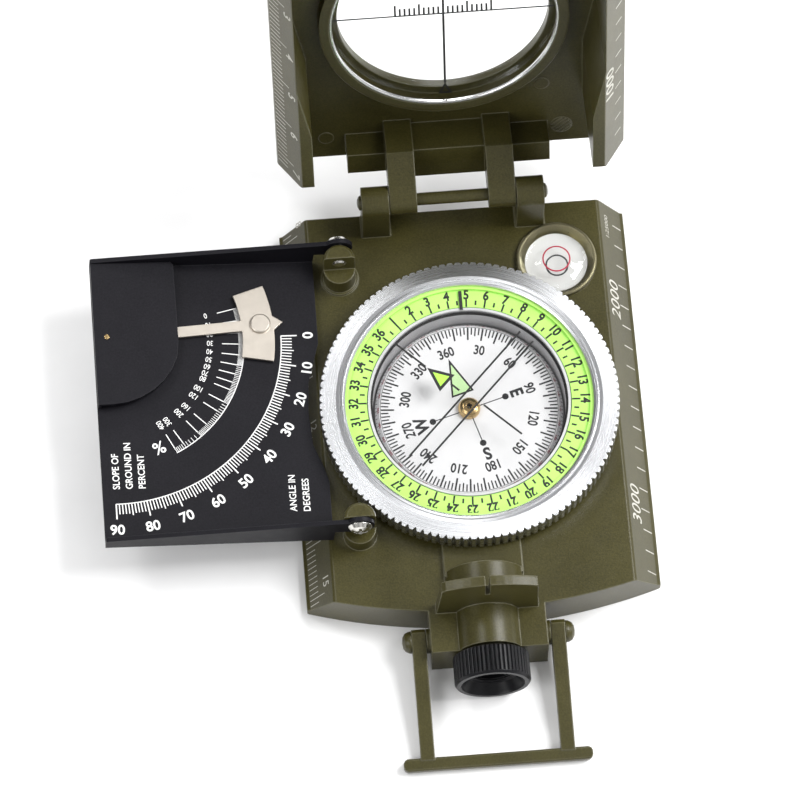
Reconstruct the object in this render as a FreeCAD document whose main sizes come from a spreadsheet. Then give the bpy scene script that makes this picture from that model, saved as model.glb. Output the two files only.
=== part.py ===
import FreeCAD, Part
import math
import os
import Sketcher
from FreeCAD import Vector, Placement, Rotation

# Sighting compass, standing open: a base casting with capsule, card and bezel, a lid raised
# on its hinge, a folding clinometer plate, an eyepiece and a thumb loop.
# Millimetres and degrees.  +Z is up, the dial axis is Z and the underside of the base is
# Z = 0.  The lid hinge is at the rear (+Y), the eyepiece at the front (-Y).

# Name endings: _r radius, _half half width in X, _x _y _z places along the axes.
# Front places of the base, posts and screws are given as distances towards -Y.
DRIVING = dict(
    # base casting
    base_height=9.0, base_top_half=27.0, base_bevel_half=31.2, base_foot_half=31.8,
    base_bevel_z=2.25, base_band_z=1.9, base_rear_y=39.9, base_front_y=38.3,
    base_front_radius=105.9, capsule_bore_r=20.85, capsule_floor_z=4.7,
    collar_r=22.75, collar_top_z=12.2, groove_z=11.2, groove_half=0.45, groove_depth=0.4,
    channel_half=7.0, channel_top_z=10.0, channel_rear_y=31.0,
    tunnel_r=7.2, tunnel_z=7.2,
    # upright sight and eyepiece block
    sight_y_front=38.4, sight_thick=1.8, sight_half=8.9, sight_side_z=19.6,
    sight_mid_z=21.5, slot_width=0.8, slot_depth=4.6,
    block_half=10.4, block_front_y=45.7, eye_z=7.0, block_round_r=5.8, eye_bore_r=4.3,
    sight_bore_r=1.9, boss_r=2.2, boss_len=0.7, loop_y=42.0, loop_z=4.8, rivet_hole_r=1.22,
    # lid hinge
    hinge_y=38.35, hinge_z=18.1, lug_r=2.85, lug_in=11.6, lug_out=16.6, lug_foot_z=3.0,
    pin_r=1.15, pin_hole_r=1.2,
    # clinometer posts
    post_x=21.4, post_r=2.9, post_top_z=18.3, post_rear_y=27.7, post_front_y=22.5,
    post_rear_ledge=13.4, post_front_ledge=12.3, clino_z=15.9,
    # bubble level, bottom cover and tripod bush
    level_x=18.3, level_y=28.2, level_hole_r=6.7, level_flange_r=7.35, level_floor_z=5.6,
    cover_half=23.5, cover_front=27.0, cover_rear=33.0, cover_thick=1.4, cover_corner=4.0,
    bush_r=5.0, bush_len=4.5, thread_r=2.55, cover_screw_x=20.0, cover_screw_front=23.0,
    cover_screw_rear=29.0, screw_hole_r=1.0,
    # capsule
    capsule_r=20.8, capsule_top_z=12.3, capsule_lip_z=13.5, capsule_lip_r=18.25,
    capsule_seat_r=17.8, capsule_wall_r=17.4, capsule_seat_z=12.2, capsule_bottom_z=4.75,
    capsule_inner_z=5.5, window_r=1.6,
    # card
    card_r=16.2, card_rim_r=17.0, card_z=9.6, card_thick=0.3, card_rim_drop=1.1,
    hub_r=2.0, hub_shank_r=1.45, hub_top_z=11.2, jewel_r=0.83, needle_r=0.4,
    needle_tip_z=10.33,
    # bezel
    bezel_r=27.0, bezel_bottom_z=10.3, bezel_top_z=14.7, bezel_bore_r=22.85,
    bezel_seat_r=22.35, bezel_ledge_r=21.9, bezel_ledge_z=12.35, dial_z=12.9,
    dial_top_z=13.4, dial_in_r=18.42, glass_z=13.95, glass_thick=0.55,
    # lid, in its own frame: _s distance from the hinge, _h height towards the inner face
    lid_tilt=71.8, lid_half=31.2, lid_back_h=-15.3, lid_face_h=-13.3, lid_rear_s=-1.1,
    lid_front_s=77.5, rim_h=6.35, rim_x=27.15, bevel_h=-0.35, flange_s=11.5,
    flange_in=25.0, flange_thin=27.2, arm_in=6.5, arm_out=11.5, knuckle_r=2.5,
    bar_half=18.5, window_s=33.8, window_hole_r=20.6, window_collar_r=22.4,
    window_collar_h=-10.7, lens_r=20.3, window_clear_r=19.0, window_ledge_h=-13.6,
    lens_thick=0.65,
    # clinometer, in its own frame: origin on the folding axis
    clino_tilt=6.0, plate_left=-44.9, plate_right=-4.2, plate_rear=31.5, plate_front=-23.4,
    plate_under=-6.4, plate_thick=0.8, flange_end_h=-3.4, flange_slope=0.112, ear_r=2.6,
    ear_hole_r=1.28, pivot_x=-42.6, pivot_y=16.15, cover_r=13.15, cover_under=-4.3,
    cover_sheet=0.7, pendulum_rest=4.3, fan_in=24.6, fan_out=30.4, fan_half=14.2,
    fan_tip=32.1,
    # thumb loop and eyepiece
    loop_drop=9.3, loop_in=11.2, loop_out=13.7, loop_len=22.2, bar_end=16.8,
    eye_r=6.8, eye_rear_y=46.3, eye_front_y=51.8, barrel_r=4.2, barrel_in_r=3.2,
)

SIDES = (1, -1)             # the +X side, then the -X side
SLOT_LENGTH = 2.4           # each arm of the cross slots in the screw heads
SLOT_WIDTH = 0.5

os.makedirs("parts", exist_ok=True)
doc = FreeCAD.newDocument("sighting_compass")
sheet = doc.addObject("Spreadsheet::Sheet", "Dims")
for row, (alias, value) in enumerate(DRIVING.items(), 1):
    sheet.set("A%d" % row, alias)
    sheet.set("B%d" % row, str(value))
    sheet.setAlias("B%d" % row, alias)
doc.recompute()


# ---- Numbers tied to the sheet ----

class Linked:
    """A number together with the sheet expression that gives it."""

    def __init__(self, value, text=None):
        self.value = float(value)
        self.text = text or ("%.6f" if value >= 0 else "(%.6f)") % value

    @staticmethod
    def of(number):
        return number if isinstance(number, Linked) else Linked(number)

    def __add__(self, other):
        other = Linked.of(other)
        return Linked(self.value + other.value, "(%s + %s)" % (self.text, other.text))

    def __sub__(self, other):
        other = Linked.of(other)
        return Linked(self.value - other.value, "(%s - %s)" % (self.text, other.text))

    def __mul__(self, other):
        other = Linked.of(other)
        return Linked(self.value * other.value, "(%s * %s)" % (self.text, other.text))

    def __neg__(self):
        return Linked(-self.value, "(0 - %s)" % self.text)


class Holder:
    """Carries the driving dimensions as attributes."""


dim = Holder()              # linked numbers, for document objects
mm = Holder()               # plain numbers, for shapes computed directly
for alias, value in DRIVING.items():
    setattr(dim, alias, Linked(value, "Dims." + alias))
    setattr(mm, alias, value)


def bind(obj, prop, number):
    """Set a numeric property and tie it to its expression."""
    number = Linked.of(number)
    setattr(obj, prop, number.value)
    obj.setExpression(prop, number.text)


# ---- Placing ----

ALONG_X = Rotation(Vector(0, 1, 0), 90)         # local Z along +X
ALONG_Y = Rotation(Vector(1, 0, 0), -90)        # local Z along +Y
AGAINST_Y = Rotation(Vector(1, 0, 0), 90)       # local Z along -Y
SECTION_XZ = AGAINST_Y      # sketch x, y become X, Z; extrudes along -Y
# sketch x, y become Y, Z; extrudes along +X
SECTION_YZ = Rotation(Vector(0, 1, 0), Vector(0, 0, 1), Vector(1, 0, 0), "ZXY")


def locate(obj, x=0, y=0, z=0, rotation=None):
    """Place an object; linked coordinates stay tied to the sheet."""
    place = [Linked.of(number).value for number in (x, y, z)]
    obj.Placement = Placement(Vector(*place), rotation or Rotation())
    for axis, number in (("x", x), ("y", y), ("z", z)):
        if isinstance(number, Linked):
            obj.setExpression("Placement.Base." + axis, number.text)
    return obj


def locate_turned(obj, x, y, z, axis, angle):
    """Place an object turned about an axis by a driving angle."""
    locate(obj, x, y, z, Rotation(axis, angle.value))
    obj.setExpression("Placement.Rotation.Angle", angle.text)
    return obj


def offset(frame, x=0, y=0, z=0, rotation=None):
    """A placement given in the coordinates of another one."""
    return frame.multiply(Placement(Vector(x, y, z), rotation or Rotation()))


def put(obj, placement):
    obj.Placement = placement
    return obj


def span(side, inner, outer):
    """Range in X from inner to outer, on the +X or the -X side."""
    return (inner, outer) if side > 0 else (-outer, -inner)


def mirror_x(points):
    return [(-x, y) for x, y in points]


def mirror_y(points):
    return [(x, -y) for x, y in points]


# ---- Document objects ----

def box(x0, x1, y0, y1, z0, z1):
    block = doc.addObject("Part::Box", "w_box")
    x0, x1, y0, y1, z0, z1 = [Linked.of(number) for number in (x0, x1, y0, y1, z0, z1)]
    bind(block, "Length", x1 - x0)
    bind(block, "Width", y1 - y0)
    bind(block, "Height", z1 - z0)
    return locate(block, x0, y0, z0)


def cylinder(radius, length, x=0, y=0, z=0, rotation=None):
    rod = doc.addObject("Part::Cylinder", "w_cyl")
    bind(rod, "Radius", radius)
    bind(rod, "Height", length)
    return locate(rod, x, y, z, rotation)


def fill_sketch(sketch, points):
    """Closed polygon, each vertex dimensioned from the origin and tied to the sheet."""
    points = [(Linked.of(x), Linked.of(y)) for x, y in points]
    total = len(points)
    for i, (x, y) in enumerate(points):
        next_x, next_y = points[(i + 1) % total]
        line = Part.LineSegment(Vector(x.value, y.value, 0),
                                Vector(next_x.value, next_y.value, 0))
        sketch.addGeometry(line, False)
    for i in range(total):
        sketch.addConstraint(Sketcher.Constraint("Coincident", i, 2, (i + 1) % total, 1))
    for i, (x, y) in enumerate(points):
        for kind, number, axis in (("DistanceX", x, -2), ("DistanceY", y, -1)):
            if abs(number.value) < 1e-9:
                # a vertex on an axis of the sketch
                sketch.addConstraint(Sketcher.Constraint("PointOnObject", i, 1, axis))
                continue
            index = sketch.addConstraint(
                Sketcher.Constraint(kind, -1, 1, i, 1, number.value))
            if "Dims." in number.text:
                sketch.setExpression("Constraints[%d]" % index, number.text)


def sketched_body(label, role, points):
    """A body holding one sketch on the origin plane of the given role."""
    body = doc.addObject("PartDesign::Body", label)
    plane = next(item for item in body.Origin.OriginFeatures if item.Role == role)
    sketch = body.newObject("Sketcher::SketchObject", "sk")
    sketch.AttachmentSupport = [(plane, "")]
    sketch.MapMode = "FlatFace"
    doc.recompute()
    fill_sketch(sketch, points)
    doc.recompute()
    return body, sketch


def turned(label, points):
    """Body of revolution about Z from (radius, height) points."""
    body, sketch = sketched_body(label, "XZ_Plane", points)
    revolution = body.newObject("PartDesign::Revolution", "rev")
    revolution.Profile = sketch
    revolution.ReferenceAxis = (sketch, ["V_Axis"])
    revolution.Angle = 360.0
    doc.recompute()
    body.Tip = revolution
    return body


def ring(label, inner, outer, bottom, top):
    """Turned ring of square section; a disc when inner is 0."""
    return turned(label, [(inner, bottom), (outer, bottom), (outer, top), (inner, top)])


def prism(points, length, x=0, y=0, z=0, rotation=None):
    """Sketch extruded along its own +Z, then placed."""
    sketch = doc.addObject("Sketcher::SketchObject", "w_sk")
    fill_sketch(sketch, points)
    extrusion = doc.addObject("Part::Extrusion", "w_ex")
    extrusion.Base = sketch
    extrusion.DirMode = "Custom"
    extrusion.Dir = Vector(0, 0, 1)
    extrusion.Solid = True
    bind(extrusion, "LengthFwd", length)
    return locate(extrusion, x, y, z, rotation)


def fuse(*objects, label="w_fuse"):
    if len(objects) == 1:
        return objects[0]
    union = doc.addObject("Part::MultiFuse", label)
    union.Shapes = list(objects)
    return union


def cut(base, *tools, label="w_cut"):
    difference = doc.addObject("Part::Cut", label)
    difference.Base = base
    difference.Tool = fuse(*tools)
    return difference


def common(*objects):
    overlap = doc.addObject("Part::MultiCommon", "w_com")
    overlap.Shapes = list(objects)
    return overlap


# ---- Shapes computed directly ----

def computed(label, shape):
    feature = doc.addObject("Part::Feature", label)
    feature.Shape = shape
    return feature


def revolved(points):
    """Solid of revolution about Z from (radius, height) points."""
    outline = Part.makePolygon([Vector(r, 0, z) for r, z in points + points[:1]])
    return Part.Face(outline).revolve(Vector(0, 0, 0), Vector(0, 0, 1), 360)


def knurled(tip_r, root_r, teeth, bottom, height):
    """Toothed disc; each tooth has a root point and a flat tip."""
    points = []
    for i in range(teeth):
        for fraction, radius in ((0.0, root_r), (0.28, tip_r), (0.72, tip_r)):
            angle = 2 * math.pi * (i + fraction) / teeth
            points.append(Vector(radius * math.cos(angle), radius * math.sin(angle), 0))
    points.append(points[0])
    face = Part.Face(Part.makePolygon(points))
    face.translate(Vector(0, 0, bottom))
    return face.extrude(Vector(0, 0, height))


# ======================================================================
# Base casting
# ======================================================================
SCREW_PLACES = [(dim.cover_screw_x * side, y) for side in SIDES
                for y in (dim.cover_screw_rear, -dim.cover_screw_front)]
# label letter, Y, height of the ledge cut into the post
POSTS = (("a", dim.post_rear_y, dim.post_rear_ledge),
         ("b", -dim.post_front_y, dim.post_front_ledge))
LUG_LENGTH = dim.lug_out - dim.lug_in


def cover_outline():
    """Rectangle with cut corners, seen in plan."""
    half, corner = dim.cover_half, dim.cover_corner
    rear, front = dim.cover_rear, -dim.cover_front
    return [(-half, rear - corner), (-half + corner, rear), (half - corner, rear),
            (half, rear - corner), (half, front + corner), (half - corner, front),
            (-half + corner, front), (-half, front + corner)]


def base_blank():
    """Bevelled slab whose front edge is an arc."""
    edge = 0.3
    half_section = [                            # x, z from the top face to the underside
        (dim.base_top_half - 0.35, dim.base_height),
        (dim.base_top_half + 0.1, dim.base_height - edge),
        (dim.base_bevel_half, dim.base_bevel_z), (dim.base_foot_half, dim.base_band_z),
        (dim.base_foot_half, edge), (dim.base_foot_half - edge, 0)]
    section = mirror_x(half_section) + half_section[::-1]
    slab = prism(section, dim.base_rear_y + dim.base_front_y + 1,
                 0, dim.base_rear_y, 0, SECTION_XZ)
    front_arc = cylinder(dim.base_front_radius, 40,
                         0, dim.base_front_radius - dim.base_front_y, -10)
    return common(slab, front_arc)


def sight_leaf():
    """Upright plate with a parabolic top edge."""
    foot_half = dim.sight_half + 0.3
    foot_z = dim.base_height - 2
    corner_inset = 0.8                          # only at the -X end of the top edge
    steps = 12
    rise = dim.sight_mid_z - dim.sight_side_z
    points = [(-foot_half, foot_z)]
    for k in range(steps + 1):
        across = -1 + 2 * k / steps
        points.append((dim.sight_half * across + (corner_inset if k == 0 else 0),
                       dim.sight_side_z + rise * (1 - across * across)))
    points.append((foot_half, foot_z))
    return prism(points, dim.sight_thick,
                 0, -dim.sight_y_front + dim.sight_thick, 0, SECTION_XZ)


def turned_post(letter, y):
    post = turned("post_turned_" + letter, [
        (0, 5), (dim.post_r, 5), (dim.post_r, dim.post_top_z - 0.75),
        (dim.post_r - 0.2, dim.post_top_z - 0.3), (dim.post_r - 0.65, dim.post_top_z),
        (0, dim.post_top_z)])
    return locate(post, -dim.post_x, y, 0)


def base_solid():
    top = dim.base_height
    parts = [
        base_blank(),
        cylinder(dim.collar_r, dim.collar_top_z - 5, 0, 0, 5),
        box(-dim.channel_half, dim.channel_half, -dim.channel_rear_y - 1, -20,
            6, dim.channel_top_z),
        cylinder(dim.tunnel_r, dim.sight_y_front - dim.channel_rear_y - 1,
                 0, -dim.sight_y_front + 1, dim.tunnel_z, ALONG_Y),
        sight_leaf(),
        box(-dim.block_half, dim.block_half, -dim.block_front_y, -35, 0, top),
        cylinder(dim.block_round_r, dim.block_front_y - 37,
                 0, -dim.block_front_y, dim.eye_z, ALONG_Y)]
    boss_root = 0.5
    for side in SIDES:
        # boss for the loop rivet, then the hinge lug
        boss_x = span(side, dim.block_half - boss_root, dim.block_half + dim.boss_len)[0]
        parts.append(cylinder(dim.boss_r, dim.boss_len + boss_root,
                              boss_x, -dim.loop_y, dim.loop_z, ALONG_X))
        lug_x0, lug_x1 = span(side, dim.lug_in, dim.lug_out)
        parts.append(box(lug_x0, lug_x1, dim.hinge_y - dim.lug_r, dim.hinge_y + dim.lug_r,
                         dim.lug_foot_z, dim.hinge_z))
        parts.append(cylinder(dim.lug_r, LUG_LENGTH,
                              lug_x0, dim.hinge_y, dim.hinge_z, ALONG_X))
    parts += [turned_post(letter, y) for letter, y, ledge in POSTS]
    # low feet where the rear post and the lugs meet the top face
    parts.append(cylinder(dim.post_r + 0.5, 0.5, -dim.post_x, dim.post_rear_y, top - 0.1))
    for side in SIDES:
        lug_x0, lug_x1 = span(side, dim.lug_in, dim.lug_out)
        parts.append(box(lug_x0 - 0.2, lug_x1 + 0.2, dim.hinge_y - dim.lug_r + 0.05,
                         dim.base_rear_y, top - 1, top + 0.3))
    return fuse(*parts)


def spring_groove():
    """Ring that cuts the groove round the collar."""
    width = dim.groove_half * 2
    bottom = dim.groove_z - dim.groove_half
    return cut(cylinder(dim.collar_r + 0.3, width, 0, 0, bottom),
               cylinder(dim.collar_r - dim.groove_depth, width + 2, 0, 0, bottom - 1))


def base_cutters():
    half_slot = dim.slot_width * 0.5
    pin_bore_x = dim.lug_out + 2
    cutters = [
        cylinder(dim.capsule_bore_r, 20, 0, 0, dim.capsule_floor_z),
        box(-15, 15, -50, -20, -6, 0),          # trims whatever hangs below the underside
        spring_groove(),
        cylinder(dim.sight_bore_r, 17.5, 0, -dim.sight_y_front + 0.2, dim.eye_z, ALONG_Y),
        cylinder(dim.eye_bore_r, 7.5, 0, -dim.block_front_y - 0.2, dim.eye_z, ALONG_Y),
        box(-half_slot, half_slot, -dim.sight_y_front - 1,
            -dim.sight_y_front + dim.sight_thick + 0.4,
            dim.sight_mid_z - dim.slot_depth, dim.sight_mid_z + 1),
        cylinder(dim.pin_hole_r, pin_bore_x * 2, -pin_bore_x, dim.hinge_y, dim.hinge_z,
                 ALONG_X)]
    for side in SIDES:
        hole_x = span(side, dim.block_half - 3, dim.block_half + 2)[0]
        cutters.append(cylinder(dim.rivet_hole_r, 5, hole_x, -dim.loop_y, dim.loop_z,
                                ALONG_X))
    # the front half of each post is cut down to a ledge, then drilled
    reach = 5
    for letter, y, ledge in POSTS:
        cutters.append(box(-dim.post_x - reach, -dim.post_x + reach, y - reach, y,
                           ledge, dim.post_top_z + 1))
    for letter, y, ledge in POSTS:
        cutters.append(cylinder(1.2, 3.6, -dim.post_x, y - 0.2, dim.clino_z, ALONG_Y))
    cutters.append(cylinder(dim.level_hole_r, 10,
                            dim.level_x, dim.level_y, dim.level_floor_z))
    # underside: cover recess, bush hole and screw holes
    cutters.append(prism(cover_outline(), dim.cover_thick + 1, 0, 0, -1))
    cutters.append(cylinder(dim.bush_r + 0.02, dim.capsule_floor_z + 2, 0, 0, -1))
    cutters += [cylinder(dim.screw_hole_r, 5.0, x, y, -1) for x, y in SCREW_PLACES]
    return cutters


def base_casting():
    solid = base_solid()
    return cut(solid, *base_cutters(), label="base_casting")


# ======================================================================
# Underside pieces
# ======================================================================
def bottom_cover():
    gap = 0.1                                   # all round, inside the recess
    outline = [[number + (gap if number.value < 0 else -gap) for number in point]
               for point in cover_outline()]
    plate = prism(outline, dim.cover_thick)
    holes = [cylinder(dim.bush_r + 0.05, 6, 0, 0, -1)]
    for x, y in SCREW_PLACES:
        holes.append(cylinder(2.05, 2, x, y, -1))       # counterbore
        holes.append(cylinder(1.05, 4, x, y, -1))
    return cut(plate, *holes, label="bottom_cover")


def bottom_screws():
    half_length, half_width = SLOT_LENGTH / 2, SLOT_WIDTH / 2
    slot_z = (-0.5, 0.55)
    screws = []
    for x, y in SCREW_PLACES:
        head = cylinder(2.0, 0.95, x, y, 0.02)
        shank = cylinder(0.98, 3.4, x, y, 0.5)
        slot = fuse(box(x - half_length, x + half_length, y - half_width, y + half_width,
                        *slot_z),
                    box(x - half_width, x + half_width, y - half_length, y + half_length,
                        *slot_z))
        screws.append(cut(fuse(head, shank), slot))
    return fuse(*screws, label="bottom_screws")


def tripod_bush():
    return ring("tripod_bush", dim.thread_r, dim.bush_r, 0, dim.bush_len)


# ======================================================================
# Bubble level
# ======================================================================
LEVEL_DIAL_R = 5.7
LEVEL_CUP_BORE_R = LEVEL_DIAL_R + 0.05
LEVEL_CUP_R = 6.6
LEVEL_CUP_FLOOR_Z = 6.4
LEVEL_GLASS_EDGE_Z = 8.5
LEVEL_GLASS_RISE = 1.6


def at_level(body):
    return locate(body, dim.level_x, dim.level_y, 0)


def level_cup():
    bottom = dim.level_floor_z + 0.02
    return at_level(turned("level_cup", [
        (0, bottom), (LEVEL_CUP_R, bottom), (LEVEL_CUP_R, 9.02), (dim.level_flange_r, 9.02),
        (dim.level_flange_r, 9.75), (7.1, 9.98), (6.75, 9.98), (LEVEL_CUP_BORE_R, 8.35),
        (LEVEL_CUP_BORE_R, LEVEL_CUP_FLOOR_Z), (0, LEVEL_CUP_FLOOR_Z)]))


def level_dial():
    return at_level(ring("level_dial", 0, LEVEL_DIAL_R, LEVEL_CUP_FLOOR_Z + 0.02, 7.6))


def level_glass():
    """Disc with a domed top."""
    points = [(0, 7.62), (LEVEL_DIAL_R, 7.62), (LEVEL_DIAL_R, LEVEL_GLASS_EDGE_Z)]
    for degrees in range(75, -1, -15):
        angle = math.radians(degrees)
        points.append((LEVEL_DIAL_R * math.sin(angle),
                       LEVEL_GLASS_EDGE_Z + LEVEL_GLASS_RISE * math.cos(angle)))
    return at_level(turned("level_glass", points))


# ======================================================================
# Capsule
# ======================================================================
WINDOW_Z = dim.eye_z + 0.8


def capsule_housing():
    cup = turned("capsule_turned", [
        (0, dim.capsule_bottom_z), (dim.capsule_r, dim.capsule_bottom_z),
        (dim.capsule_r, dim.capsule_top_z), (dim.capsule_lip_r, dim.capsule_top_z),
        (dim.capsule_lip_r, dim.capsule_lip_z), (dim.capsule_seat_r, dim.capsule_lip_z),
        (dim.capsule_seat_r, dim.capsule_seat_z), (dim.capsule_wall_r, dim.capsule_seat_z),
        (dim.capsule_wall_r, dim.capsule_inner_z), (0, dim.capsule_inner_z)])
    window_hole = cylinder(dim.window_r, 6, 0, -22, WINDOW_Z, ALONG_Y)
    return cut(cup, window_hole, label="capsule_housing")


def capsule_window():
    pane = ring("capsule_window", 0, dim.window_r - 0.02, 0, 0.8)
    return locate(pane, 0, -19.6, WINDOW_Z, ALONG_Y)


def capsule_seal():
    return ring("capsule_seal", dim.capsule_wall_r, dim.capsule_seat_r - 0.02,
                dim.capsule_seat_z + 0.01, dim.capsule_seat_z + 0.3)


def capsule_glass():
    return ring("capsule_glass", 0, dim.capsule_seat_r - 0.05,
                dim.capsule_seat_z + 0.31, dim.capsule_seat_z + 0.9)


def pivot_post():
    floor = dim.capsule_inner_z
    bore_r = dim.needle_r + 0.01
    return turned("pivot_post", [
        (0, floor + 0.01), (2.4, floor + 0.01), (2.4, floor + 0.5), (1.3, floor + 0.9),
        (1.3, floor + 2.0), (bore_r, floor + 2.2), (bore_r, floor + 0.6), (0, floor + 0.6)])


def pivot_pin():
    bottom = dim.capsule_inner_z + 0.62
    return turned("pivot_pin", [
        (0, bottom), (dim.needle_r, bottom), (dim.needle_r, dim.needle_tip_z - 0.9),
        (0.05, dim.needle_tip_z), (0, dim.needle_tip_z)])


def index_pointer():
    """Thin radial strip on the capsule lip, towards +Y."""
    half, inner_y, outer_y = 0.3, dim.capsule_seat_r + 0.05, 21.5
    body, sketch = sketched_body("index_pointer", "XY_Plane", [
        (-half, inner_y), (half, inner_y), (half, outer_y), (-half, outer_y)])
    pad = body.newObject("PartDesign::Pad", "pad")
    pad.Profile = sketch
    bind(pad, "Length", 0.22)
    doc.recompute()
    body.Tip = pad
    return locate(body, 0, 0, dim.capsule_lip_z + 0.01)


def bezel_spring():
    """Wire ring in the collar groove, open at the front."""
    wire = Part.makeTorus(mm.collar_r + 0.03, 0.36,
                          Vector(0, 0, mm.groove_z), Vector(0, 0, 1))
    gap = Part.makeBox(3, 4, 3, Vector(-1.5, -mm.collar_r - 2, mm.groove_z - 1.5))
    return computed("bezel_spring", wire.cut(gap))


# ======================================================================
# Card
# ======================================================================
CARD_UNDER = dim.card_z - dim.card_thick


def compass_card():
    bore_r = dim.hub_shank_r + 0.03
    rim_z = dim.card_z - dim.card_rim_drop
    return turned("compass_card", [
        (bore_r, CARD_UNDER), (dim.card_r - 0.1, CARD_UNDER), (dim.card_rim_r - 0.3, rim_z),
        (dim.card_rim_r, rim_z), (dim.card_r + 0.05, dim.card_z), (bore_r, dim.card_z)])


def card_magnet():
    """Bar with a round middle, bored for the hub."""
    depth, gap = 1.2, 0.02
    bar = box(-9.0, 9.0, -1.6, 1.6, CARD_UNDER - depth, CARD_UNDER - gap)
    middle = cylinder(2.9, depth - gap, 0, 0, CARD_UNDER - depth)
    bore = cylinder(dim.hub_shank_r + 0.3, 4, 0, 0, dim.card_z - 3)
    return cut(fuse(bar, middle), bore, label="card_magnet")


def card_hub():
    top, bore_r, mouth_r = dim.hub_top_z, 0.88, 0.5
    return turned("card_hub", [
        (bore_r, CARD_UNDER - 0.5), (dim.hub_shank_r, CARD_UNDER - 0.5),
        (dim.hub_shank_r, dim.card_z + 0.01), (dim.hub_r, dim.card_z + 0.02),
        (dim.hub_r, dim.card_z + 0.75), (dim.hub_r - 0.35, top - 0.3),
        (dim.hub_r - 0.9, top), (mouth_r, top), (mouth_r, top - 0.2), (bore_r, top - 0.2)])


def card_jewel():
    bottom, top, tip = dim.needle_tip_z - 0.35, dim.hub_top_z - 0.22, dim.needle_tip_z + 0.02
    return turned("card_jewel", [
        (0.45, bottom), (dim.jewel_r, bottom), (dim.jewel_r, top), (0, top), (0, tip),
        (0.15, tip)])


# ======================================================================
# Bezel group
# ======================================================================
def bezel_ring():
    """Knurled ring, stepped inside for the dial and grooved for the spring."""
    bottom, top, bore = mm.bezel_bottom_z, mm.bezel_top_z, mm.bezel_bore_r
    outer, seat, ledge = mm.bezel_r, mm.bezel_seat_r, mm.bezel_ledge_r
    step_z = mm.dial_z - 0.02
    body = revolved([
        (bore, bottom), (outer - 0.5, bottom), (outer + 0.2, bottom + 0.5),
        (outer + 0.2, top - 0.95), (outer - 0.15, top - 0.42), (24.0, top - 0.05),
        (23.3, top - 0.05), (23.15, top + 0.1), (22.75, top + 0.1), (seat, top - 0.25),
        (seat, step_z), (ledge, step_z), (ledge, mm.bezel_ledge_z),
        (bore, mm.bezel_ledge_z)])
    height = top - bottom
    knurl = knurled(outer, outer - 0.62, teeth=118, bottom=bottom, height=height)
    core = Part.makeCylinder(24.5, height + 0.4, Vector(0, 0, bottom))
    groove_half = 0.48
    groove = Part.makeCylinder(bore + 0.42, 2 * groove_half,
                               Vector(0, 0, mm.groove_z - groove_half))
    groove = groove.cut(Part.makeCylinder(bore - 0.3, 2, Vector(0, 0, mm.groove_z - 1)))
    return computed("bezel_ring", body.common(knurl.fuse(core)).cut(groove))


def dial_ring():
    outer, rim = dim.bezel_seat_r - 0.03, dim.bezel_seat_r - 0.6
    rim_z = dim.glass_z - 0.01
    return turned("dial_ring", [
        (dim.dial_in_r, dim.dial_z), (outer, dim.dial_z), (outer, rim_z), (rim, rim_z),
        (rim, dim.dial_top_z), (dim.dial_in_r, dim.dial_top_z)])


def bezel_glass():
    outer, top = dim.bezel_seat_r - 0.05, dim.glass_z + dim.glass_thick
    return turned("bezel_glass", [
        (0, dim.glass_z), (outer, dim.glass_z), (outer, top - 0.15),
        (dim.bezel_seat_r - 0.25, top), (0, top)])


def hinge_pin():
    """Pin with a domed head at each end."""
    length = dim.lug_out * 2
    head = [(0, -0.8), (0.7, -0.72), (1.25, -0.45), (1.45, -0.05), (dim.pin_r, -0.05)]
    far_head = [(radius, length - z) for radius, z in head[::-1]]
    pin = turned("hinge_pin", head + far_head)
    return locate(pin, -dim.lug_out, dim.hinge_y, dim.hinge_z, ALONG_X)


# ======================================================================
# Lid.  Local frame: X across, Y away from the hinge, Z towards the inner face,
# origin on the hinge pin.
# ======================================================================
LID_FRAME = Placement(Vector(0, mm.hinge_y, mm.hinge_z),
                      Rotation(Vector(1, 0, 0), mm.lid_tilt))
LID_WINDOW = offset(LID_FRAME, y=mm.window_s)
END_WALL_S = dim.lid_front_s - 1.6
# small raised discs on the inner face: radius, x, y
LID_DISCS = [(1.4, 17.5, 14.2), (1.4, -22.0, 3.8), (1.95, 21.1, 3.1)]


def lid_walls():
    """Side walls, face plate, gussets at the hinge end and the two end walls."""
    back, face = dim.lid_back_h, dim.lid_face_h
    edge = 0.6
    wall = [                                    # x, height
        (dim.lid_half - edge, back), (dim.lid_half, back + edge),
        (dim.lid_half, dim.bevel_h), (dim.rim_x, dim.rim_h), (dim.flange_in, dim.rim_h),
        (dim.flange_in, back)]
    parts = [prism(points, dim.lid_front_s - dim.flange_s, 0, dim.lid_front_s, 0,
                   SECTION_XZ) for points in (wall, mirror_x(wall))]
    parts.append(box(-dim.lid_half + edge, dim.lid_half - edge,
                     dim.lid_rear_s, dim.lid_front_s, back, face))
    gusset = [                                  # distance from hinge, height
        (dim.lid_rear_s, back + edge), (dim.lid_rear_s, face + edge),
        (dim.flange_s, dim.bevel_h), (dim.flange_s + 1, dim.bevel_h),
        (dim.flange_s + 1, back + edge)]
    gusset_thick = 2.0
    for side in SIDES:
        x0 = span(side, dim.lid_half - gusset_thick, dim.lid_half)[0]
        parts.append(prism(gusset, gusset_thick, x0, 0, 0, SECTION_YZ))
    for side in SIDES:
        parts.append(box(*span(side, 15.0, dim.lid_half - 1.0),
                         END_WALL_S, dim.lid_front_s, back + 1, dim.bevel_h))
    return parts


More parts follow.
